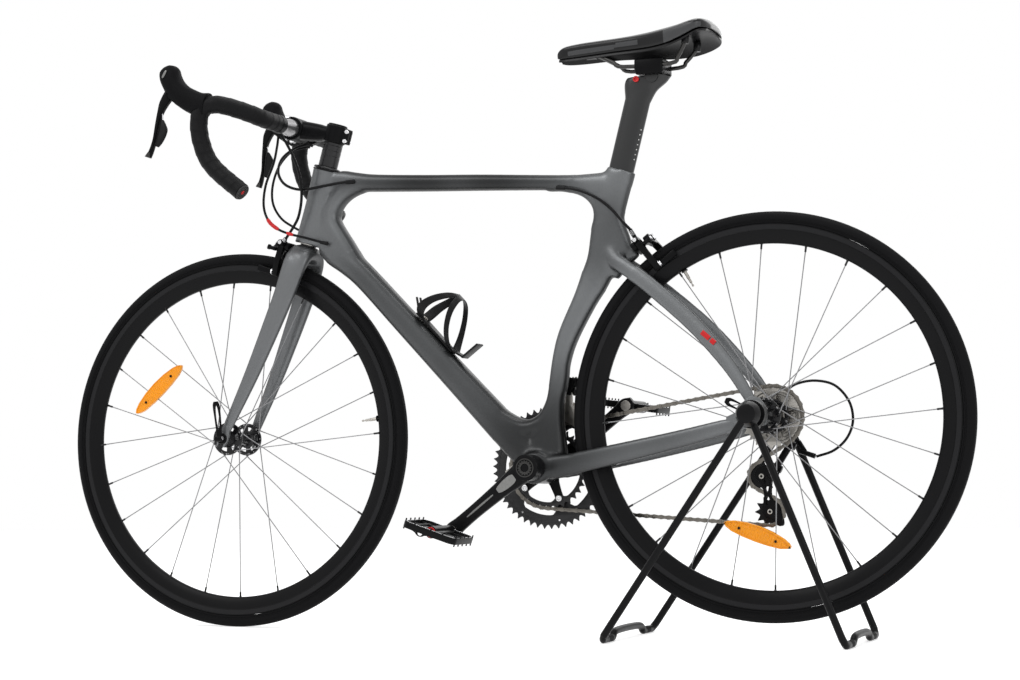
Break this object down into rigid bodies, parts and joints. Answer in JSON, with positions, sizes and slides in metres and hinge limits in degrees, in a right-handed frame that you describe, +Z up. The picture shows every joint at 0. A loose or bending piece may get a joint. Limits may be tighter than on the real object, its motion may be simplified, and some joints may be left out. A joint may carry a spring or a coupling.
{
  "type": "road bike",
  "caption": "Drop-bar road bike with rim brakes and two-ring derailleur gearing, held upright by a folding rear-axle display stand.",
  "frame": {"origin": "on the floor under the middle of the bounding box", "axes": "+X towards the rear wheel, +Y to the bike's right (drive) side, +Z up"},
  "size_m": [1.6496, 0.4088, 1.0227],
  "materials": {
    "graphite_paint": "satin metallic",
    "grey_paint": "satin metallic",
    "carbon": "gloss carbon weave",
    "steel": "satin",
    "black_metal": "black anodised",
    "black_plastic": "satin",
    "crank_black": "polished black",
    "ring_black": "black anodised",
    "rim_black": "satin black",
    "hub_black": "satin black",
    "tyre": "matt",
    "post_black": "satin",
    "saddle_cover": "smooth",
    "saddle_shell": "satin",
    "bar_grey": "bead blasted",
    "bar_tape": "cork-like matt",
    "hood_rubber": "matt",
    "stand_black": "gloss powder coat"
  },
  "bodies": {
    "frame": {"frame": "graphite_paint", "headset_lower_bearing": "steel", "bottom_bracket": "black_metal", "bottle_cage": "black_plastic", "front_derailleur_body": "black_metal", "rear_brake_bracket": "black_metal", "rear_brake_housing": "black_plastic", "rear_derailleur_housing": "black_plastic", "rear_axle_skewer": "black_metal", "rear_skewer_lever": "black_metal", "rear_derailleur_bracket": "black_metal", "chain": "steel", "rear_brake_housing_front": "black_plastic", "shift_housing_left": "black_plastic", "shift_housing_right": "black_plastic"},
    "steering": {"fork": "grey_paint", "headset_spacers": "carbon", "stem": "black_metal", "handlebar": "bar_grey", "bar_tape_left": "bar_tape", "bar_tape_right": "bar_tape", "lever_hood_left": "hood_rubber", "lever_hood_right": "hood_rubber", "front_brake_bracket": "black_metal", "front_brake_housing": "black_plastic", "front_axle_skewer": "black_metal"},
    "front_wheel": {"front_tyre": "tyre", "front_rim": "rim_black", "front_hub": "hub_black"},
    "rear_wheel": {"rear_tyre": "tyre", "rear_rim": "rim_black", "rear_hub": "hub_black"},
    "cassette": {"cassette": "steel"},
    "crankset": {"crank_right": "crank_black", "chainrings": "ring_black", "crank_left": "crank_black"},
    "saddle": {"saddle_rails": "steel", "saddle_shell": "saddle_shell", "saddle_cover": "saddle_cover"},
    "pedal_left": {"pedal_left": "crank_black"},
    "pedal_right": {"pedal_right": "crank_black"},
    "front_derailleur_cage": {"front_derailleur_cage": "steel"},
    "rear_derailleur_link": {"rear_derailleur_link": "black_metal"},
    "rear_derailleur_knuckle": {"rear_derailleur_knuckle": "black_metal"},
    "rear_derailleur_cage": {"rear_derailleur_cage": "black_metal"},
    "guide_pulley": {"guide_pulley": "black_plastic"},
    "tension_pulley": {"tension_pulley": "black_plastic"},
    "front_brake_arm_left": {"front_brake_arm_left": "black_metal"},
    "front_brake_arm_right": {"front_brake_arm_right": "black_metal"},
    "rear_brake_arm_left": {"rear_brake_arm_left": "black_metal"},
    "rear_brake_arm_right": {"rear_brake_arm_right": "black_metal"},
    "brake_lever_left": {"brake_lever_left": "black_metal"},
    "brake_lever_right": {"brake_lever_right": "black_metal"},
    "shift_lever_left": {"shift_lever_left": "black_metal"},
    "shift_lever_right": {"shift_lever_right": "black_metal"},
    "front_skewer_lever": {"front_skewer_lever": "black_metal"},
    "seatpost": {"seatpost": "post_black"},
    "saddle_clamp": {"saddle_clamp": "black_metal"},
    "stand_front_hoop": {"stand_front_hoop": "stand_black"},
    "stand_rear_hoop": {"stand_rear_hoop": "stand_black"}
  },
  "joints": [
    {"name": "steering", "type": "hinge", "parent": "frame", "child": "steering", "pos_m": [-0.33025, 0, 0.74752], "axis": [0.2639, 0, 0.9645], "range_deg": [-35, 35], "deforming": ["rear_brake_housing_front", "shift_housing_left", "shift_housing_right"]},
    {"name": "front_wheel_spin", "type": "hinge", "parent": "steering", "child": "front_wheel", "pos_m": [-0.48979, 0, 0.335], "axis": [0, 1, 0], "continuous": true},
    {"name": "rear_wheel_spin", "type": "hinge", "parent": "frame", "child": "rear_wheel", "pos_m": [0.48979, 0, 0.364], "axis": [0, 1, 0], "continuous": true},
    {"name": "crank_spin", "type": "hinge", "parent": "frame", "child": "crankset", "pos_m": [0.09212, 0, 0.2812], "axis": [0, 1, 0], "continuous": true, "deforming": ["chain"]},
    {"name": "cassette_spin", "type": "hinge", "parent": "frame", "child": "cassette", "pos_m": [0.48979, 0, 0.364], "axis": [0, 1, 0], "continuous": true, "deforming": ["chain"]},
    {"name": "pedal_left_spin", "type": "hinge", "parent": "crankset", "child": "pedal_left", "pos_m": [-0.04112, -0.12, 0.17561], "axis": [0, 1, 0], "continuous": true},
    {"name": "pedal_right_spin", "type": "hinge", "parent": "crankset", "child": "pedal_right", "pos_m": [0.22535, 0.12, 0.38678], "axis": [0, 1, 0], "continuous": true},
    {"name": "rear_derailleur_shift", "type": "hinge", "parent": "frame", "child": "rear_derailleur_link", "pos_m": [0.50514, 0.081, 0.31843], "axis": [0.9226, 0, -0.3858], "range_deg": [0, 38], "deforming": ["chain"]},
    {"name": "rear_derailleur_knuckle_pivot", "type": "hinge", "parent": "rear_derailleur_link", "child": "rear_derailleur_knuckle", "pos_m": [0.48926, 0.0485, 0.28045], "axis": [0.9226, 0, -0.3858], "range_deg": [-38, 0], "deforming": ["chain"]},
    {"name": "rear_derailleur_tension", "type": "hinge", "parent": "rear_derailleur_knuckle", "child": "rear_derailleur_cage", "pos_m": [0.48245, 0.024, 0.27374], "axis": [0, 1, 0], "range_deg": [-30, 22], "stiffness_Nm_per_rad": 0.5, "deforming": ["chain"]},
    {"name": "guide_pulley_spin", "type": "hinge", "parent": "rear_derailleur_cage", "child": "guide_pulley", "pos_m": [0.47167, 0.024, 0.26642], "axis": [0, 1, 0], "continuous": true, "deforming": ["chain"]},
    {"name": "tension_pulley_spin", "type": "hinge", "parent": "rear_derailleur_cage", "child": "tension_pulley", "pos_m": [0.48538, 0.024, 0.2088], "axis": [0, 1, 0], "continuous": true, "deforming": ["chain"]},
    {"name": "front_derailleur_shift", "type": "hinge", "parent": "frame", "child": "front_derailleur_cage", "pos_m": [0.13223, 0.0315, 0.41144], "axis": [0.9996, 0, 0.0296], "range_deg": [0, 6.5], "deforming": ["chain"]},
    {"name": "brake_lever_left_pull", "type": "hinge", "parent": "steering", "child": "brake_lever_left", "pos_m": [-0.52392, -0.188, 0.93025], "axis": [0, 1, 0], "range_deg": [0, 18], "stiffness_Nm_per_rad": 1, "springref_deg": -11.46},
    {"name": "shift_lever_left_swing", "type": "hinge", "parent": "brake_lever_left", "child": "shift_lever_left", "pos_m": [-0.53657, -0.193, 0.88786], "axis": [0.1763, 0.1005, 0.9792], "range_deg": [0, 18], "stiffness_Nm_per_rad": 0.2, "springref_deg": -5.73},
    {"name": "brake_lever_right_pull", "type": "hinge", "parent": "steering", "child": "brake_lever_right", "pos_m": [-0.52392, 0.188, 0.93025], "axis": [0, 1, 0], "range_deg": [0, 18], "stiffness_Nm_per_rad": 1, "springref_deg": -11.46},
    {"name": "shift_lever_right_swing", "type": "hinge", "parent": "brake_lever_right", "child": "shift_lever_right", "pos_m": [-0.53657, 0.193, 0.88786], "axis": [-0.1763, 0.1005, -0.9792], "range_deg": [0, 18], "stiffness_Nm_per_rad": 0.2, "springref_deg": -5.73},
    {"name": "front_brake_arm_left_close", "type": "hinge", "parent": "steering", "child": "front_brake_arm_left", "pos_m": [-0.38619, -0.021, 0.67909], "axis": [0.9471, 0, -0.3209], "range_deg": [0, 1.25], "stiffness_Nm_per_rad": 3, "springref_deg": -2.86},
    {"name": "front_brake_arm_right_close", "type": "hinge", "parent": "steering", "child": "front_brake_arm_right", "pos_m": [-0.40136, 0, 0.68106], "axis": [-0.9471, 0, 0.3209], "range_deg": [0, 1.25], "stiffness_Nm_per_rad": 3, "springref_deg": -2.86},
    {"name": "rear_brake_arm_left_close", "type": "hinge", "parent": "frame", "child": "rear_brake_arm_left", "pos_m": [0.27517, -0.021, 0.65355], "axis": [0.7826, 0, 0.6225], "range_deg": [0, 1.25], "stiffness_Nm_per_rad": 3, "springref_deg": -2.86},
    {"name": "rear_brake_arm_right_close", "type": "hinge", "parent": "frame", "child": "rear_brake_arm_right", "pos_m": [0.28878, 0, 0.66054], "axis": [-0.7826, 0, -0.6225], "range_deg": [0, 1.25], "stiffness_Nm_per_rad": 3, "springref_deg": -2.86},
    {"name": "front_skewer_lever_flip", "type": "hinge", "parent": "steering", "child": "front_skewer_lever", "pos_m": [-0.48979, -0.0669, 0.335], "axis": [0.9951, 0, 0.0993], "range_deg": [0, 170]},
    {"name": "seatpost_height", "type": "slide", "parent": "frame", "child": "seatpost", "axis": [0.2471, 0, 0.969], "range_m": [-0.015, 0.04]},
    {"name": "saddle_tilt", "type": "hinge", "parent": "seatpost", "child": "saddle_clamp", "pos_m": [0.29879, 0, 0.9356], "axis": [0, 1, 0], "range_deg": [-5, 5]},
    {"name": "saddle_setback", "type": "slide", "parent": "saddle_clamp", "child": "saddle", "axis": [1, 0, 0.0002], "range_m": [-0.008, 0.008]},
    {"name": "stand_front_fold", "type": "hinge", "parent": "frame", "child": "stand_front_hoop", "pos_m": [0.48979, 0, 0.364], "axis": [0, 1, 0], "range_deg": [-32, 0]},
    {"name": "stand_rear_fold", "type": "hinge", "parent": "frame", "child": "stand_rear_hoop", "pos_m": [0.48979, 0, 0.364], "axis": [0, 1, 0], "range_deg": [0, 20]}
  ],
  "couplings": [
    {"joint": "cassette_spin", "follows": "crank_spin", "ratio": 1.36},
    {"joint": "guide_pulley_spin", "follows": "crank_spin", "ratio": -3.0909},
    {"joint": "tension_pulley_spin", "follows": "crank_spin", "ratio": 3.0909},
    {"joint": "rear_derailleur_knuckle_pivot", "follows": "rear_derailleur_shift", "ratio": -1},
    {"joint": "front_brake_arm_left_close", "follows": "brake_lever_left_pull", "ratio": 0.06944},
    {"joint": "front_brake_arm_right_close", "follows": "brake_lever_left_pull", "ratio": 0.06944},
    {"joint": "rear_brake_arm_left_close", "follows": "brake_lever_right_pull", "ratio": 0.06944},
    {"joint": "rear_brake_arm_right_close", "follows": "brake_lever_right_pull", "ratio": 0.06944}
  ]
}
